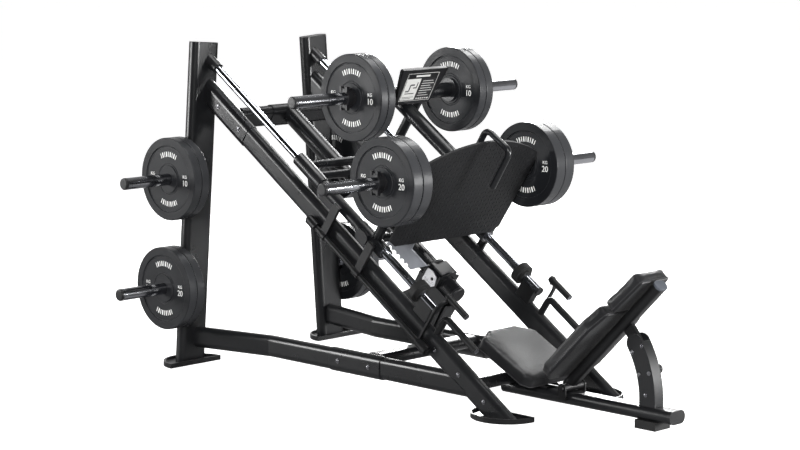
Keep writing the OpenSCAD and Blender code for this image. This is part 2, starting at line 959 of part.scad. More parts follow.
// Bent handle over the footplate's top edge, from its back to its front.
module foot_handle() {
    foot_frame() {
        translate([0, handle_back, 380]) cylinder(d = 26, h = handle_top - 410);
        translate([0, handle_back - 30, handle_top - 30]) rotate([90, 0, 90])
            rotate_extrude(angle = 90) translate([30, 0]) circle(d = 26);
        translate([0, 0, handle_top]) along_y(handle_front + 30, handle_back - 30)
            circle(d = 26);
        translate([0, handle_front + 30, handle_top - 30]) rotate([90, 0, 90])
            rotate([0, 0, 90]) rotate_extrude(angle = 90) translate([30, 0]) circle(d = 26);
        translate([0, handle_front, 341]) cylinder(d = 26, h = handle_top - 371);
    }
}

module footplate_frame() {
    color([0.07, 0.07, 0.08]) placed() {
        difference() {
            union() {
                foot_frame() for (x = [-150, 0, 150]) translate([x - 20, foot_plate_t, 30])
                    cube([40, 10, 400]);
                foot_frame() for (v = [60, 400]) translate([-150, foot_plate_t, v])
                    cube([300, 10, 30]);
                foot_frame() for (v = [386, 416]) difference() {
                    translate([-15, foot_plate_t + 5, v]) cube([30, handle_back - 15, 12]);
                    translate([0, handle_back, 0]) cylinder(d = 26, h = handle_top);
                }
                on_slope() translate([0, low_horn_s, low_horn_t]) for (x = [-150, 150])
                    along_x(x - 20, x + 20) circle(d = 84);
            }
            on_slope() translate([0, low_horn_s, low_horn_t]) along_x(-300, 300)
                circle(d = sled_tube_d + 2 * fit);
            foot_frame() translate([-300, foot_plate_t - 40, -100]) cube([600, 40, 700]);
        }
    }
}

module footplate_handle() {
    color([0.06, 0.06, 0.07]) placed() foot_handle();
}

upright_left();
upright_right();
upright_caps();
upright_feet();
side_rail_left();
side_rail_right();
rail_sleeves();
rail_feet();
base_beam_left();
base_beam_right();
base_sleeves();
front_base_beams();
rear_cross_member();
front_cross_member();
centre_beam();
tube_end_caps();
centre_post();
centre_bracket();
top_cross_stubs();
top_cross_sleeve();
spine();
spine_foot();
guide_rods();
rod_collars();
rod_bumpers();
rod_brackets();
storage_horns();
storage_horn_caps();
storage_plates();
frame_bolts();
side_handles();
side_handle_caps();
lock_brackets();
lock_left();
lock_right();
seat_pad();
seat_bracket();
backrest_bracket();
backrest_pin();
backrest_post();
backrest_frame();
backrest_arm();
backrest_pad();
headrest_pad();
pop_pin();
slide_tubes();
linear_bushings();
sled_cross_tubes();
sled_struts();
horn_tubes();
sled_horns();
sled_horn_caps();
sled_plates();
plate_collars();
placard();
footplate();
footplate_frame();
sled_rack();
catch_ear();
footplate_handle();
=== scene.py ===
import math

import bmesh
import bpy
import numpy as np
from mathutils import Matrix, Vector


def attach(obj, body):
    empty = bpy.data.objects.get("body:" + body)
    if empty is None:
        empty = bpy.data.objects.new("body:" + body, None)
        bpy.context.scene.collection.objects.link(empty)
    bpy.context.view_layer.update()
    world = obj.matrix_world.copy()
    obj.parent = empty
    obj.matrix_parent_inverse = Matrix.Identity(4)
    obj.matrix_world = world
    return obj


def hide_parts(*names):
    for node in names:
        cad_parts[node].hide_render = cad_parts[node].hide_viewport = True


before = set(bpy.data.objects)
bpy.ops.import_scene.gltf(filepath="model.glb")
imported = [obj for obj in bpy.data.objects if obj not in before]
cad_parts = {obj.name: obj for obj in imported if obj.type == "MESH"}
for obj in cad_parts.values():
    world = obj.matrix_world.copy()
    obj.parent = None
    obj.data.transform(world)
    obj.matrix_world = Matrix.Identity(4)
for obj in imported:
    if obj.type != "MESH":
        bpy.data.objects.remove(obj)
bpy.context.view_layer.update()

# Frames of the design, in metres: MID is the way from the uprights' line to the model's middle.
MID = 1.00975
SLOPE = math.radians(34.3)
ALONG = Matrix.Translation((0, MID, 0)) @ Matrix.Rotation(SLOPE, 4, "X")
FOOT = ALONG @ Matrix.Translation((0, -0.525, 1.088)) @ Matrix.Rotation(math.radians(-2), 4, "X")
SEAT = Matrix.Translation((0, MID - 1.364, 0.291)) @ Matrix.Rotation(math.radians(27), 4, "X")
PLACARD = ALONG @ Matrix.Translation((0, -0.075, 1.4314)) @ Matrix.Rotation(math.radians(-5.2), 4, "X")
# The backrest lies at 45 degrees, with its hinge at the origin of this frame.
HALF = math.sqrt(0.5)
BACK = Matrix(((-1, 0, 0, 0), (0, -HALF, HALF, MID - 1.736), (0, HALF, HALF, 0.1), (0, 0, 0, 1)))

QUARTER_X = Matrix.Rotation(math.radians(90), 4, "X")

# Horns of the sled, along the slope and square to it, and the outer faces of the plates on them.
UPPER_HORN = (-0.0315, 1.4534)
LOWER_HORN = (-0.462, 1.3865)
UPPER_PLATES = (0.2435, 0.3245)
LOWER_PLATES = (0.362, 0.469)
# Storage horns: height and the number on the plates, and where the plates sit on them.
STORED = ((0.797, "10"), (0.336, "20"))
STORED_PLATES = (0.084, 0.165)
STORED_Y = MID + 0.0555
UPRIGHT_X = 0.415
LEAN = math.radians(4.15)
FACE_RECESS = 0.005

# Swell of the pads: remesh size in metres, simulated frames and pressure.
VOXEL = 0.005
CLOTH_FRAMES = 20
CLOTH_PRESSURE = 4


# ------------------------------------------------------------------ materials
def material(name, color, rough=0.5, metallic=0.0, grain=900.0, bump=0.1, depth=0.0004, patch=5.0,
             rough_var=0.06, color_var=0.25, edge=0.0, edge_color=(0.1, 0.1, 0.1), stretch=(1, 1, 1),
             bevel=0.0, specular=0.5, coat=0.0, coat_rough=0.2, leather=False, sheen=0.0, painted_rim_highlight=None):
    mat = bpy.data.materials.new(name)
    mat.use_nodes = True
    nt = mat.node_tree
    bsdf = nt.nodes["Principled BSDF"]
    link = nt.links.new
    coords = nt.nodes.new("ShaderNodeTexCoord")
    mapping = nt.nodes.new("ShaderNodeMapping")
    mapping.inputs["Scale"].default_value = stretch
    link(coords.outputs["Object"], mapping.inputs["Vector"])

    def noise(scale, detail=3.0, source=mapping.outputs["Vector"]):
        n = nt.nodes.new("ShaderNodeTexNoise")
        n.inputs["Scale"].default_value = scale
        n.inputs["Detail"].default_value = detail
        link(source, n.inputs["Vector"])
        return n

    def span(source, low, high, a=0.3, b=0.7):
        m = nt.nodes.new("ShaderNodeMapRange")
        m.inputs["From Min"].default_value = a
        m.inputs["From Max"].default_value = b
        m.inputs["To Min"].default_value = low
        m.inputs["To Max"].default_value = high
        link(source, m.inputs["Value"])
        return m.outputs["Result"]

    def mixed(fac, a, b):
        m = nt.nodes.new("ShaderNodeMix")
        m.data_type = "RGBA"
        link(fac, m.inputs["Factor"])
        for key, v in (("A", a), ("B", b)):
            socket = [s for s in m.inputs if s.name == key and s.type == "RGBA"][0]
            if isinstance(v, tuple):
                socket.default_value = (*v, 1)
            else:
                link(v, socket)
        return [s for s in m.outputs if s.type == "RGBA"][0]

    large = noise(patch, 4.0, coords.outputs["Object"])
    fine = noise(grain, 2.0)
    lighter = tuple(min(1.0, c * (1 + color_var) + 0.002 * color_var) for c in color)
    darker = tuple(c * (1 - color_var * 0.6) for c in color)
    base = mixed(span(large.outputs["Fac"], 0, 1), darker, lighter)
    rough_out = span(large.outputs["Fac"], rough - rough_var, rough + rough_var)
    # Painted highlight: where the object normal lies nearly square to X (the plates' round sides), the base
    # colour turns to the lighter rim colour, standing in for the satin sheen there. The rim roughness is a
    # real gloss change.
    if painted_rim_highlight:
        side = nt.nodes.new("ShaderNodeSeparateXYZ")
        link(coords.outputs["Normal"], side.inputs[0])
        size = nt.nodes.new("ShaderNodeMath")
        size.operation = "ABSOLUTE"
        link(side.outputs["X"], size.inputs[0])
        base = mixed(span(size.outputs[0], 0, 1, 0.45, 0.75), painted_rim_highlight[0], base)
        blend = nt.nodes.new("ShaderNodeMix")
        link(span(size.outputs[0], 0, 1, 0.45, 0.75), blend.inputs["Factor"])
        blend.inputs["A"].default_value = painted_rim_highlight[1]
        link(rough_out, blend.inputs["B"])
        rough_out = blend.outputs["Result"]
    b = nt.nodes.new("ShaderNodeBump")
    b.inputs["Strength"].default_value = bump
    b.inputs["Distance"].default_value = depth
    height = fine.outputs["Fac"]
    if leather:
        cells = nt.nodes.new("ShaderNodeTexVoronoi")
        cells.feature = "DISTANCE_TO_EDGE"
        cells.inputs["Scale"].default_value = grain
        link(coords.outputs["Object"], cells.inputs["Vector"])
        height = span(cells.outputs["Distance"], 0, 1, 0.0, 0.35)
        crease = noise(grain * 0.12, 5.0)
        add = nt.nodes.new("ShaderNodeMath")
        add.operation = "ADD"
        link(height, add.inputs[0])
        link(crease.outputs["Fac"], add.inputs[1])
        height = add.outputs[0]
    link(height, b.inputs["Height"])
    if bevel:
        soft = nt.nodes.new("ShaderNodeBevel")
        soft.samples = 4
        soft.inputs["Radius"].default_value = bevel
        link(soft.outputs["Normal"], b.inputs["Normal"])
        if edge:
            geo = nt.nodes.new("ShaderNodeNewGeometry")
            dot = nt.nodes.new("ShaderNodeVectorMath")
            dot.operation = "DOT_PRODUCT"
            link(soft.outputs["Normal"], dot.inputs[0])
            link(geo.outputs["True Normal"], dot.inputs[1])
            worn = span(dot.outputs["Value"], edge, 0, 0.72, 0.98)
            patchy = span(noise(60, 4.0).outputs["Fac"], 0, 1, 0.42, 0.62)
            mul = nt.nodes.new("ShaderNodeMath")
            mul.operation = "MULTIPLY"
            link(worn, mul.inputs[0])
            link(patchy, mul.inputs[1])
            base = mixed(mul.outputs[0], base, edge_color)
    link(base, bsdf.inputs["Base Color"])
    link(rough_out, bsdf.inputs["Roughness"])
    link(b.outputs["Normal"], bsdf.inputs["Normal"])
    bsdf.inputs["Metallic"].default_value = metallic
    bsdf.inputs["Specular IOR Level"].default_value = specular
    bsdf.inputs["Coat Weight"].default_value = coat
    bsdf.inputs["Coat Roughness"].default_value = coat_rough
    bsdf.inputs["Sheen Weight"].default_value = sheen
    return mat


M = {
    "frame": material("powder_coat_frame", (0.0075, 0.0078, 0.0086), 0.3, grain=1500, bump=0.12, patch=3,
                      edge=0.5, edge_color=(0.06, 0.062, 0.068), bevel=0.0025, coat=0.1, coat_rough=0.15),
    "bracket": material("powder_coat_brackets", (0.0065, 0.0066, 0.007), 0.36, grain=1700, bump=0.15, patch=7,
                        edge=0.6, edge_color=(0.07, 0.07, 0.075), bevel=0.0015),
    "sled": material("powder_coat_sled", (0.0085, 0.009, 0.0102), 0.3, grain=1500, bump=0.12, patch=4,
                     edge=0.5, edge_color=(0.07, 0.072, 0.08), bevel=0.0015, coat=0.12),
    "rod": material("hard_chrome_rods", (0.46, 0.475, 0.51), 0.12, 1.0, grain=260, bump=0.02, depth=0.0003,
                    patch=7, rough_var=0.05, color_var=0.05),
    "horn": material("chrome_horns", (0.5, 0.505, 0.53), 0.13, 1.0, grain=420, bump=0.015, depth=0.0002,
                     patch=9, rough_var=0.03, color_var=0.06, stretch=(0.04, 1, 1)),
    "steel": material("zinc_steel", (0.34, 0.34, 0.36), 0.28, 1.0, grain=700, bump=0.06, patch=30,
                      rough_var=0.1, color_var=0.12),
    "ear": material("bright_steel_ear", (0.78, 0.78, 0.8), 0.3, 1.0, grain=350, bump=0.08, patch=20,
                    stretch=(1, 0.06, 1), color_var=0.08, bevel=0.001),
    "rack": material("grey_rack", (0.235, 0.245, 0.27), 0.42, 0.3, grain=900, bump=0.12, patch=14,
                     edge=0.5, edge_color=(0.45, 0.46, 0.5), bevel=0.001, color_var=0.12),
    # The rubber's rim colour is a painted highlight on the plates' round sides; its rim roughness is real
    # gloss.
    "rubber": material("plate_rubber", (0.0105, 0.0112, 0.013), 0.44, grain=1100, bump=0.22, depth=0.0005,
                       patch=10, edge=0.35, edge_color=(0.085, 0.086, 0.09), bevel=0.002, color_var=0.22,
                       specular=0.34, painted_rim_highlight=((0.04, 0.041, 0.044), 0.27)),
    "bumper": material("bumper_rubber", (0.012, 0.012, 0.012), 0.6, grain=1300, bump=0.25, patch=20,
                       bevel=0.003),
    "plastic": material("black_plastic", (0.011, 0.011, 0.012), 0.36, grain=1400, bump=0.12, patch=25,
                        bevel=0.0015),
    "cap": material("grey_cap", (0.075, 0.083, 0.098), 0.45, grain=1400, bump=0.12, patch=25, bevel=0.0015),
    "board": material("placard_board", (0.012, 0.012, 0.013), 0.33, grain=1600, bump=0.1, patch=12,
                      bevel=0.001),
    "ink": material("label_ink", (0.62, 0.62, 0.6), 0.5, grain=800, bump=0.05, patch=40, color_var=0.08),
    "dark_ink": material("label_dark", (0.02, 0.02, 0.021), 0.4, grain=800, bump=0.05, patch=40),
    "mark": material("plate_mark_paint", (0.88, 0.88, 0.86), 0.5, grain=900, bump=0.12, patch=60,
                     color_var=0.14),
    "tread": material("footplate_coat", (0.0085, 0.0087, 0.0095), 0.5, grain=1500, bump=0.25, patch=6,
                      edge=0.5, edge_color=(0.1, 0.1, 0.105), bevel=0.001, color_var=0.3, specular=0.25),
    "vinyl": material("upholstery_vinyl", (0.011, 0.0112, 0.0122), 0.38, grain=520, bump=0.16, depth=0.0006,
                      patch=6, rough_var=0.05, leather=True, specular=0.5, sheen=0.06, color_var=0.18),
    "thread": material("stitching", (0.03, 0.03, 0.032), 0.6, grain=2500, bump=0.3, patch=90),
}

NODE_MATERIAL = {
    "bracket": "upright_feet rail_feet centre_bracket rod_brackets side_handles lock_brackets lock_left "
               "lock_right seat_bracket backrest_bracket backrest_pin backrest_frame backrest_arm",
    "sled": "slide_tubes sled_cross_tubes sled_struts horn_tubes footplate_frame footplate_handle",
    "rod": "guide_rods",
    "horn": "storage_horns sled_horns",
    "steel": "linear_bushings frame_bolts",
    "ear": "catch_ear",
    "rack": "sled_rack",
    "rubber": "storage_plates sled_plates",
    "bumper": "rod_bumpers spine_foot",
    "plastic": "upright_caps tube_end_caps rod_collars storage_horn_caps side_handle_caps sled_horn_caps "
               "plate_collars pop_pin",
    "board": "placard",
    "tread": "footplate",
    "vinyl": "seat_pad backrest_pad headrest_pad",
}
node_slot = {n: k for k, names in NODE_MATERIAL.items() for n in names.split()}
for name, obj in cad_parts.items():
    obj.data.materials.clear()
    obj.data.materials.append(M[node_slot.get(name, "frame")])


# ------------------------------------------------------------------ mesh helpers
def finish_mesh(bm, name, mats, body, smooth=40):
    bmesh.ops.recalc_face_normals(bm, faces=bm.faces)
    mesh = bpy.data.meshes.new(name)
    bm.to_mesh(mesh)
    bm.free()
    obj = bpy.data.objects.new(name, mesh)
    bpy.context.scene.collection.objects.link(obj)
    for m in mats if isinstance(mats, (list, tuple)) else [mats]:
        mesh.materials.append(m)
    if smooth:
        mesh.shade_smooth()
        mesh.set_sharp_from_angle(angle=math.radians(smooth))
    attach(obj, body)
    return obj


def loft(bm, loops, cap_start=True, cap_end=True, index=0):
    rings = [[bm.verts.new(p) for p in loop] for loop in loops]
    n = len(rings[0])
    for a, b in zip(rings, rings[1:]):
        for i in range(n):
            bm.faces.new((a[i], a[(i + 1) % n], b[(i + 1) % n], b[i])).material_index = index
    if cap_start:
        bm.faces.new(rings[0][::-1]).material_index = index
    if cap_end:
        bm.faces.new(rings[-1]).material_index = index
    return rings


def circle(m, r, z, n=32, turn=0.0):
    angles = [turn + 2 * math.pi * i / n for i in range(n)]
    return [m @ Vector((r * math.cos(a), r * math.sin(a), z)) for a in angles]


def hexagon(m, r, z, n=24):
    out = []
    for i in range(n):
        t = 2 * math.pi * i / n
        k = math.cos(math.pi / 6) / math.cos((t % (math.pi / 3)) - math.pi / 6)
        out.append(m @ Vector((r * k * math.cos(t), r * k * math.sin(t), z)))
    return out


def slab(bm, m, x0, x1, y0, y1, z0, z1, index=0):
    v = [bm.verts.new(m @ Vector(p)) for p in
         ((x0, y0, z0), (x1, y0, z0), (x1, y1, z0), (x0, y1, z0),
          (x0, y0, z1), (x1, y0, z1), (x1, y1, z1), (x0, y1, z1))]
    for f in ((0, 3, 2, 1), (4, 5, 6, 7), (0, 1, 5, 4), (1, 2, 6, 5), (2, 3, 7, 6), (3, 0, 4, 7)):
        bm.faces.new([v[i] for i in f]).material_index = index


def facing(normal, up=(0, 0, 1)):
    """Rotation whose z axis is normal and whose y axis is nearest to up."""
    z = Vector(normal).normalized()
    x = Vector(up).cross(z).normalized()
    y = z.cross(x)
    return Matrix((x, y, z)).transposed().to_4x4()


def letters(text, size):
    curve = bpy.data.curves.new("digits", "FONT")
    curve.body = text
    curve.size = size
    curve.align_x = "CENTER"
    curve.align_y = "CENTER"
    curve.extrude = 0.0004
    curve.resolution_u = 4
    obj = bpy.data.objects.new("digits", curve)
    bpy.context.scene.collection.objects.link(obj)
    bpy.context.view_layer.update()
    mesh = bpy.data.meshes.new_from_object(obj.evaluated_get(bpy.context.evaluated_depsgraph_get()))
    bpy.data.objects.remove(obj)
    return mesh


# ------------------------------------------------------------------ button-head bolts
def button_bolt(bm, m, r, n=24):
    loops = [circle(m, r * 1.45, 0, n), circle(m, r * 1.45, 0.0015, n), circle(m, r * 1.36, 0.0019, n),
             circle(m, r * 1.08, 0.0019, n), circle(m, r * 1.08, 0.0026, n)]
    for k in range(1, 6):
        a = math.radians(14 * k)
        loops.append(circle(m, r * (0.18 + 0.9 * math.cos(a)), 0.0026 + r * 0.42 * math.sin(a), n))
    top = 0.0026 + r * 0.42 * math.sin(math.radians(70))
    loops += [hexagon(m, r * 0.42, top, n), hexagon(m, r * 0.4, top - r * 0.4, n)]
    loft(bm, loops, cap_start=False)


def frame_bolts():
    bm = bmesh.new()
    places = [((-0.3332, -0.053, 1.098), 0.0072), ((-0.3332, -0.179, 1.011), 0.0072),
              ((-0.33, -1.316, 0.2296), 0.0068), ((-0.33, -1.442, 0.151), 0.0068),
              ((-0.33, -1.576, 0.064), 0.0068), ((-0.3332, -0.773, 0.11), 0.0068),
              ((-0.3332, -0.949, 0.11), 0.0068)]
    for r, a in ((0.417, 30.4), (0.364, 30), (0.363, 16), (0.412, 15.7), (0.383, 4)):
        a = math.radians(a)
        places.append(((-0.0255, -1.736 - r * math.cos(a), 0.1 + r * math.sin(a)), 0.0058))
    for p, r in places:
        for side in (-1, 1):
            m = Matrix.Translation((p[0] * -side, p[1] + MID, p[2])) @ facing((side, 0, 0))
            button_bolt(bm, m, r)
    obj = finish_mesh(bm, "button_head_bolts", M["steel"], "frame", 30)
    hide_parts("frame_bolts")


frame_bolts()


# ------------------------------------------------------------------ marks on the weight plates
def marks(name, faces, body):
    """Two arcs of ticks above and below, and KG with a number on each side of the bore."""
    bm = bmesh.new()
    for centre, normal, number in faces:
        m = Matrix.Translation(centre) @ facing(normal)
        for base in (90, 270):
            for k in range(9):
                a = math.radians(base + (k - 4) * 6.6)
                w = 0.0062 if k % 2 else 0.0034
                turn = m @ Matrix.Rotation(a - math.pi / 2, 4, "Z")
                slab(bm, turn, -w / 2, w / 2, 0.095, 0.116, 0, 0.0007)
        for side in (-1, 1):
            for text, size, y in ((number, 0.034, -0.011), ("KG", 0.019, 0.0165)):
                mesh = letters(text, size)
                mesh.transform(m @ Matrix.Translation((side * 0.104, y, 0.0004)))
                bm.from_mesh(mesh)
                bpy.data.meshes.remove(mesh)
    finish_mesh(bm, name, M["mark"], body, 30)


def face_list(x_in, x_out, y, z, number):
    """Both outer faces of a pair of plates, on the left and the right: centre, normal and number."""
    out = []
    for side in (-1, 1):
        out.append(((side * (x_out - FACE_RECESS), y, z), (side, 0, 0), number))
        out.append(((side * (x_in + FACE_RECESS), y, z), (-side, 0, 0), number))
    return out


up = ALONG @ Vector((0, *UPPER_HORN))
low = ALONG @ Vector((0, *LOWER_HORN))
carried = face_list(*UPPER_PLATES, up.y, up.z, "10") + face_list(*LOWER_PLATES, low.y, low.z, "20")
stored = []
for height, number in STORED:
    x = UPRIGHT_X - height * math.tan(LEAN)
    stored += face_list(x + STORED_PLATES[0], x + STORED_PLATES[1], STORED_Y, height, number)
marks("sled_plate_marks", carried, "sled")
marks("stored_plate_marks", stored, "frame")


# ------------------------------------------------------------------ rings moulded into the plates
def plate_rings(name, faces, body):
    bm = bmesh.new()
    for centre, normal, _ in faces:
        m = Matrix.Translation(centre) @ facing(normal)
        for r, w, h in ((0.0655, 0.0022, 0.0016), (0.1375, 0.0018, 0.0014)):
            profile = ((r - w, -0.0002), (r - w * 0.5, h), (r + w * 0.5, h), (r + w, -0.0002))
            loft(bm, [circle(m, radius, z, 72) for radius, z in profile], False, False)
    finish_mesh(bm, name, M["rubber"], body, 60)


plate_rings("sled_plate_rings", carried, "sled")
plate_rings("stored_plate_rings", stored, "frame")


# ------------------------------------------------------------------ footplate tread
def inside_foot(x, v, margin):
    pts = [(-0.280, 0), (0.280, 0), (0.318, 0.026), (0.335, 0.372), (0.323, 0.402), (0.290, 0.460), (0, 0.7),
           (-0.290, 0.460), (-0.323, 0.402), (-0.335, 0.372), (-0.318, 0.026)]
    if math.hypot(x, v + 0.182) > 0.672 - margin:
        return False
    for (x0, y0), (x1, y1) in zip(pts, pts[1:] + pts[:1]):
        d = ((x1 - x0) * (v - y0) - (y1 - y0) * (x - x0)) / math.hypot(x1 - x0, y1 - y0)
        if d < margin:
            return False
    return True


def tread():
    bm = bmesh.new()
    rows = 24
    for row in range(rows):
        v = 0.018 + row * 0.0205
        for column in range(-17, 18):
            x = column * 0.0205
            if not inside_foot(x, v, 0.014):
                continue
            a = math.radians(45 if (row + column) % 2 else -45)
            m = FOOT @ Matrix.Translation((x, 0, v)) @ QUARTER_X @ Matrix.Rotation(a, 4, "Z")
            loops = []
            for k, z in ((1.0, -0.0003), (0.8, 0.0009), (0.4, 0.0015)):
                half = 0.0092 - 0.003 * (1 - k)
                loops.append([m @ Vector((half * math.cos(t), 0.0026 * k * math.sin(t), z))
                              for t in (2 * math.pi * i / 12 for i in range(12))])
            loft(bm, loops, cap_start=False)
    finish_mesh(bm, "footplate_tread_studs", M["tread"], "footplate_assembly", 60)


tread()


# ------------------------------------------------------------------ placard label
def label():
    bm = bmesh.new()
    m = PLACARD
    f = -0.0006
    half, z0, z1 = 0.088, 0.016, 0.148
    for x0, x1, a, b in ((-half, half, z0, z0 + 0.0016), (-half, half, z1 - 0.0016, z1),
                         (-half, -half + 0.0016, z0, z1), (half - 0.0016, half, z0, z1)):
        slab(bm, m, x0, x1, f, 0.0002, a, b, 0)
    slab(bm, m, -0.040, 0.040, f, 0.0002, 0.130, 0.138, 0)
    slab(bm, m, -0.083, -0.004, f, 0.0002, 0.021, 0.122, 0)
    slab(bm, m, 0.002, 0.083, f, 0.0002, 0.021, 0.122, 1)
    d = -0.001
    for x0, x1, a, b in ((-0.072, -0.052, 0.060, 0.066), (-0.056, -0.050, 0.064, 0.094),
                         (-0.052, -0.030, 0.090, 0.096), (-0.034, -0.014, 0.076, 0.081),
                         (-0.018, -0.013, 0.079, 0.104), (-0.070, -0.018, 0.050, 0.054),
                         (-0.076, -0.012, 0.034, 0.036), (-0.076, -0.028, 0.028, 0.030)):
        slab(bm, m, x0, x1, d, 0.0002, a, b, 1)
    for k in range(7):
        w = (0.062, 0.070, 0.054, 0.066, 0.070, 0.048, 0.06)[k]
        slab(bm, m, 0.008, 0.008 + w, d, 0.0002, 0.108 - k * 0.0115, 0.1105 - k * 0.0115, 0)
    for k in range(6):
        slab(bm, m, 0.006 + k * 0.0125, 0.0145 + k * 0.0125, d, 0.0002, 0.0235, 0.0285, 0)
    finish_mesh(bm, "placard_label", [M["ink"], M["dark_ink"]], "sled", 0)
    bm = bmesh.new()
    outer = [(-0.089, 0), (0.089, 0), (0.096, 0.008), (0.131, 0.158), (0.125, 0.165),
             (-0.125, 0.165), (-0.131, 0.158), (-0.096, 0.008)]
    ring = [Vector((x, 0, z)) for x, z in outer]
    centre = Vector((0, 0, 0.085))
    inner = [centre + (p - centre) * 0.965 for p in ring]
    push = Vector((0, 0.016, 0))
    loft(bm, [[m @ (p + Vector((0, 0.001, 0))) for p in ring], [m @ (p + push) for p in ring],
              [m @ (p + push) for p in inner], [m @ (p + Vector((0, 0.0048, 0))) for p in inner]],
         False, False)
    finish_mesh(bm, "placard_folded_rim", M["board"], "sled", 30)


label()


# ------------------------------------------------------------------ small end pieces
def end_pieces():
    bm = bmesh.new()
    n = 24
    m = BACK @ Matrix.Translation((0, 0.6185, 0.014)) @ Matrix.Rotation(math.radians(-90), 4, "X")
    rings = []
    for d, z in ((0.0, -0.0075), (0.0, 0.0), (0.0015, 0.0015)):
        ring = []
        for cx, cy, a0 in ((1, 1, 0), (-1, 1, 90), (-1, -1, 180), (1, -1, 270)):
            for k in range(7):
                a = math.radians(a0 + 15 * k)
                r = 0.021 - d
                ring.append(m @ Vector((cx * 0.0097 + r * math.cos(a), cy * 0.0017 + r * math.sin(a), z)))
        rings.append(ring)
    loft(bm, rings)
    finish_mesh(bm, "backrest_tube_cap", M["cap"], "backrest_assembly", 30)
    grip_profile = ((0.0128, -0.003), (0.0128, 0.0012), (0.0112, 0.002), (0.0106, 0.002), (0.0098, -0.001))
    hold_profile = ((0.0142, -0.004), (0.0142, 0.0008), (0.0128, 0.0018), (0.0118, 0.0018), (0.0105, 0.0006))
    for side, hand in ((-1, "left"), (1, "right")):
        for label_name, place, profile, body in (
                ("lever_grip_end_", (side * 0.303, -0.996, 1.132), grip_profile, "lock_lever_" + hand),
                ("handle_end_ring_", (side * 0.305, -1.110, 1.058), hold_profile, "frame")):
            bm = bmesh.new()
            m = ALONG @ Matrix.Translation(place) @ QUARTER_X
            loft(bm, [circle(m, r, z, n) for r, z in profile])
            finish_mesh(bm, label_name + hand, M["steel"], body, 30)


end_pieces()


# ------------------------------------------------------------------ pads
def inset_outline(pts, d, r, n=6):
    """Convex outline moved in by d, its corners rounded to radius r."""
    k = len(pts)
    area = sum(pts[i][0] * pts[(i + 1) % k][1] - pts[(i + 1) % k][0] * pts[i][1] for i in range(k))
    if area < 0:
        pts = pts[::-1]
    lines = []
    for i in range(k):
        a, b = Vector(pts[i]), Vector(pts[(i + 1) % k])
        t = (b - a).normalized()
        nrm = Vector((-t.y, t.x))
        lines.append((a + nrm * d, t))
    corners = []
    for i in range(k):
        (p, t), (q, s) = lines[i - 1], lines[i]
        den = t.x * s.y - t.y * s.x
        u = ((q.x - p.x) * s.y - (q.y - p.y) * s.x) / den
        corners.append(p + t * u)
    out = []
    for i in range(k):
        c = corners[i]
        t0, t1 = lines[i - 1][1], lines[i][1]
        turn = math.acos(max(-1, min(1, t0.dot(t1))))
        cut = r * math.tan(turn / 2)
        room = 0.45 * min((corners[i] - corners[i - 1]).length, (corners[(i + 1) % k] - corners[i]).length)
        rr = r if cut <= room else room / math.tan(turn / 2)
        cut = rr * math.tan(turn / 2)
        start = c - t0 * cut
        mid = start + Vector((-t0.y, t0.x)) * rr
        a0 = math.atan2(start.y - mid.y, start.x - mid.x)
        for j in range(n + 1):
            a = a0 + turn * j / n
            out.append((mid.x + rr * math.cos(a), mid.y + rr * math.sin(a)))
    return out


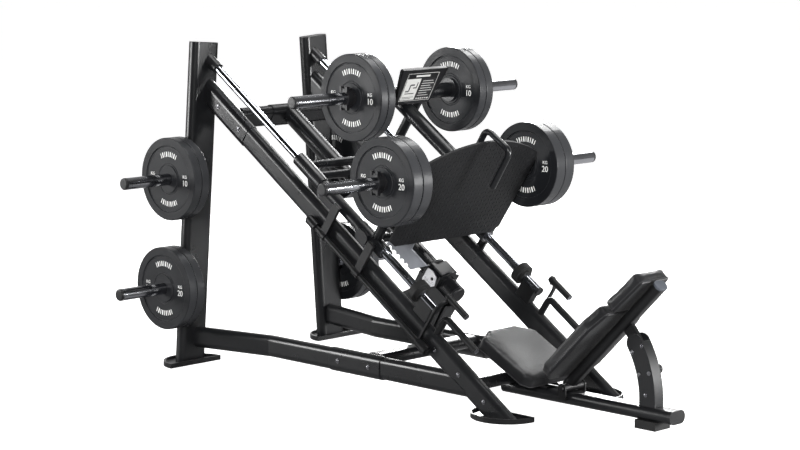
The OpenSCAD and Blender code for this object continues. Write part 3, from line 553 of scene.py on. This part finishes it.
def pad(name, node, m, outline, z0, z1, body, cap, crown, corner, edge):
    """A crowned vinyl pad from z0 to z1, swollen by cloth under pressure by at most cap, with a welt."""
    bm = bmesh.new()
    loops = []
    t = z1 - z0
    layers = [(0.004, 0.0), (0.0, 0.005), (0.0, t * 0.5), (0.0, t - edge)]
    for k in range(1, 6):
        a = math.radians(90 * k / 5)
        layers.append((edge * (1 - math.cos(a)), t - edge + edge * math.sin(a)))
    layers += [(edge + 0.03, t + crown * 0.6), (edge + 0.06, t + crown * 0.92)]
    for d, z in layers:
        loops.append([Vector((x, y, z0 + z)) for x, y in inset_outline(outline, d + 0.0015, corner)])
    rings = loft(bm, loops, cap_end=False)
    top = rings[-1]
    cx = sum((v.co for v in top), Vector()) / len(top)
    tip = bm.verts.new(Vector((cx.x, cx.y, z0 + t + crown)))
    for i in range(len(top)):
        bm.faces.new((top[i], top[(i + 1) % len(top)], tip))
    bmesh.ops.recalc_face_normals(bm, faces=bm.faces)
    mesh = bpy.data.meshes.new(name)
    bm.to_mesh(mesh)
    bm.free()
    obj = bpy.data.objects.new(name, mesh)
    bpy.context.scene.collection.objects.link(obj)
    remesh = obj.modifiers.new("Remesh", "REMESH")
    remesh.mode = "VOXEL"
    remesh.voxel_size = VOXEL
    bpy.context.view_layer.update()
    done = bpy.data.meshes.new_from_object(obj.evaluated_get(bpy.context.evaluated_depsgraph_get()))
    obj.modifiers.clear()
    obj.data = done
    count = len(done.vertices)
    rest = np.zeros(count * 3)
    done.vertices.foreach_get("co", rest)
    rest = rest.reshape(-1, 3)
    cloth = obj.modifiers.new("Cloth", "CLOTH")
    s = cloth.settings
    s.quality = 5
    s.mass = 0.4
    s.tension_stiffness = 22
    s.compression_stiffness = 22
    s.bending_stiffness = 3
    s.use_pressure = True
    s.uniform_pressure_force = CLOTH_PRESSURE
    s.effector_weights.gravity = 0
    cloth.collision_settings.use_collision = False
    cloth.point_cache.frame_start = 1
    cloth.point_cache.frame_end = CLOTH_FRAMES
    scene = bpy.context.scene
    for f in range(1, CLOTH_FRAMES + 1):
        scene.frame_set(f)
    shaped = obj.evaluated_get(bpy.context.evaluated_depsgraph_get()).to_mesh()
    moved = np.zeros(count * 3)
    shaped.vertices.foreach_get("co", moved)
    moved = moved.reshape(-1, 3)
    obj.modifiers.clear()
    scene.frame_set(1)
    d = moved - rest
    length = np.linalg.norm(d, axis=1, keepdims=True)
    d *= np.minimum(1, cap / np.maximum(length, 1e-9))
    hold = np.clip((rest[:, 2:3] - z0) / 0.02, 0, 1)
    rest = rest + d * hold
    done.vertices.foreach_set("co", rest.reshape(-1))
    done.transform(m)
    done.materials.append(M["vinyl"])
    done.shade_smooth()
    sub = obj.modifiers.new("Subdivision", "SUBSURF")
    sub.levels = 1
    sub.render_levels = 1
    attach(obj, body)
    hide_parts(node)
    seam(name + "_seam", m, outline, z0 + t * 0.16, 0.0, body, corner)
    return obj


def seam(name, m, outline, z, d, body, corner):
    """A sewn welt that follows the pad's side."""
    ring = inset_outline(outline, d, corner)
    pts = [m @ Vector((x, y, z)) for x, y in ring]
    bm = bmesh.new()
    n = len(pts)
    loops = []
    up_axis = (m.to_3x3() @ Vector((0, 0, 1))).normalized()
    for i in range(n):
        t = (pts[(i + 1) % n] - pts[i - 1]).normalized()
        side = t.cross(up_axis).normalized()
        loops.append([pts[i] + side * 0.0016 * math.cos(a) + up_axis * 0.0016 * math.sin(a)
                      for a in (2 * math.pi * j / 8 for j in range(8))])
    rings = [[bm.verts.new(p) for p in loop] for loop in loops]
    for i in range(n):
        a, b = rings[i], rings[(i + 1) % n]
        for j in range(8):
            bm.faces.new((a[j], a[(j + 1) % 8], b[(j + 1) % 8], b[j]))
    finish_mesh(bm, name, M["thread"], body, 60)


seat_outline = [(-0.077, 0), (0.077, 0), (0.148, -0.042), (0.158, -0.056), (0.158, -0.3), (0.13, -0.33),
                (-0.13, -0.33), (-0.158, -0.3), (-0.158, -0.056), (-0.148, -0.042)]
back_outline = [(-0.12, 0.012), (0.12, 0.012), (0.15, 0.06), (0.15, 0.33), (0.118, 0.424), (-0.118, 0.424),
                (-0.15, 0.33), (-0.15, 0.06)]
head_outline = [(-0.106, 0.43), (0.106, 0.43), (0.085, 0.612), (-0.085, 0.612)]
pad("seat_cushion", "seat_pad", SEAT, seat_outline, -0.056, -0.0075, "frame", 0.003, 0.003, 0.016, 0.009)
for piece, node, shape, corner, edge in (
        ("backrest_cushion", "backrest_pad", back_outline, 0.018, 0.009),
        ("headrest_cushion", "headrest_pad", head_outline, 0.014, 0.008)):
    pad(piece, node, BACK, shape, 0.039, 0.0915, "backrest_assembly", 0.003, 0.003, corner, edge)


# ------------------------------------------------------------------ stage, lights and camera
def area(name, at, target, size, energy, size_y=None):
    light = bpy.data.lights.new(name, "AREA")
    light.energy = energy
    light.shape = "RECTANGLE"
    light.size = size
    light.size_y = size_y or size
    obj = bpy.data.objects.new(name, light)
    bpy.context.scene.collection.objects.link(obj)
    obj.location = at
    obj.rotation_euler = (Vector(target) - Vector(at)).to_track_quat("-Z", "Y").to_euler()
    return obj


def stage():
    bm = bmesh.new()
    loft(bm, [circle(Matrix.Identity(4), 60, -0.0002, 96), circle(Matrix.Identity(4), 60, -0.001, 96)])
    mesh = bpy.data.meshes.new("floor")
    bm.to_mesh(mesh)
    bm.free()
    floor = bpy.data.objects.new("floor", mesh)
    bpy.context.scene.collection.objects.link(floor)
    mat = bpy.data.materials.new("pale_floor")
    mat.use_nodes = True
    nt = mat.node_tree
    bsdf = nt.nodes["Principled BSDF"]
    bsdf.inputs["Base Color"].default_value = (0.8, 0.8, 0.8, 1)
    bsdf.inputs["Roughness"].default_value = 0.6
    bsdf.inputs["Specular IOR Level"].default_value = 0.1
    bsdf.inputs["Emission Color"].default_value = (1, 1, 1, 1)
    path = nt.nodes.new("ShaderNodeLightPath")
    glow = nt.nodes.new("ShaderNodeMapRange")
    glow.inputs["To Min"].default_value = 0.06
    glow.inputs["To Max"].default_value = 0.85
    tone = nt.nodes.new("ShaderNodeMix")
    tone.data_type = "RGBA"
    shades = [s for s in tone.inputs if s.type == "RGBA"]
    shades[0].default_value = (0.2, 0.2, 0.205, 1)
    shades[1].default_value = (0.82, 0.82, 0.82, 1)
    nt.links.new(path.outputs["Is Camera Ray"], tone.inputs["Factor"])
    nt.links.new([s for s in tone.outputs if s.type == "RGBA"][0], bsdf.inputs["Base Color"])
    nt.links.new(path.outputs["Is Camera Ray"], glow.inputs["Value"])
    nt.links.new(glow.outputs["Result"], bsdf.inputs["Emission Strength"])
    mesh.materials.append(mat)
    world = bpy.data.worlds.new("studio")
    bpy.context.scene.world = world
    world.use_nodes = True
    nt = world.node_tree
    back = nt.nodes["Background"]
    path = nt.nodes.new("ShaderNodeLightPath")
    mix = nt.nodes.new("ShaderNodeMix")
    mix.data_type = "RGBA"
    nt.links.new(path.outputs["Is Camera Ray"], mix.inputs["Factor"])
    colors = [s for s in mix.inputs if s.type == "RGBA"]
    colors[1].default_value = (1, 1, 1, 1)
    coords = nt.nodes.new("ShaderNodeTexCoord")
    dot = nt.nodes.new("ShaderNodeVectorMath")
    dot.operation = "DOT_PRODUCT"
    dot.inputs[1].default_value = (0.703, 0.711, 0)
    nt.links.new(coords.outputs["Generated"], dot.inputs[0])
    split = nt.nodes.new("ShaderNodeSeparateXYZ")
    nt.links.new(coords.outputs["Generated"], split.inputs[0])
    values = []
    for source, a, b, low, high in ((dot.outputs["Value"], -0.05, 0.75, 0.07, 0.95),
                                    (split.outputs["Z"], 0.05, 0.6, 1.0, 0.3)):
        m = nt.nodes.new("ShaderNodeMapRange")
        m.inputs["From Min"].default_value = a
        m.inputs["From Max"].default_value = b
        m.inputs["To Min"].default_value = low
        m.inputs["To Max"].default_value = high
        nt.links.new(source, m.inputs["Value"])
        values.append(m.outputs["Result"])
    mul = nt.nodes.new("ShaderNodeMath")
    mul.operation = "MULTIPLY"
    nt.links.new(values[0], mul.inputs[0])
    nt.links.new(values[1], mul.inputs[1])
    nt.links.new(mul.outputs[0], colors[0])
    nt.links.new([s for s in mix.outputs if s.type == "RGBA"][0], back.inputs["Color"])
    back.inputs["Strength"].default_value = 1.0


stage()
area("right_front", (3.4, -6.2, 1.2), (0, -0.1, 0.8), 1.6, 440, 1.5)
area("front_left", (-4.6, -5.4, 4.2), (0, 0, 0.7), 1.6, 200, 1.2)
area("left_back", (-4.4, 4.6, 1.8), (0, 0.2, 0.6), 1.4, 170, 2.2)
area("top_right", (4.4, 1.4, 4.2), (0, -0.4, 0.4), 1.8, 88)
area("top_soft", (0.3, 0.2, 4.8), (0, 0, 0.5), 2.0, 80)
area("right_back", (4.6, 3.6, 2.2), (0, 0, 0.7), 1.6, 210, 1.4)
fill = area("left_fill", (-5.6, -4.2, 2.2), (0, 0, 0.7), 1.8, 380)
fill.visible_glossy = False
bounce = area("floor_bounce", (1.9, -1.1, 0.03), (1.9, -1.1, 3), 3.4, 8, 3.0)
bounce.visible_camera = False

bpy.context.scene.view_settings.view_transform = "Standard"
camera = bpy.data.objects.new("camera", bpy.data.cameras.new("camera"))
bpy.context.scene.collection.objects.link(camera)
camera.location = (-6.7505, -7.4780 + MID, 1.9913)
camera.rotation_euler = (math.radians(81.8756), 0, math.radians(-45.3096))
camera.data.lens = 104.915
camera.data.sensor_width = 36
camera.data.clip_end = 200
bpy.context.scene.camera = camera
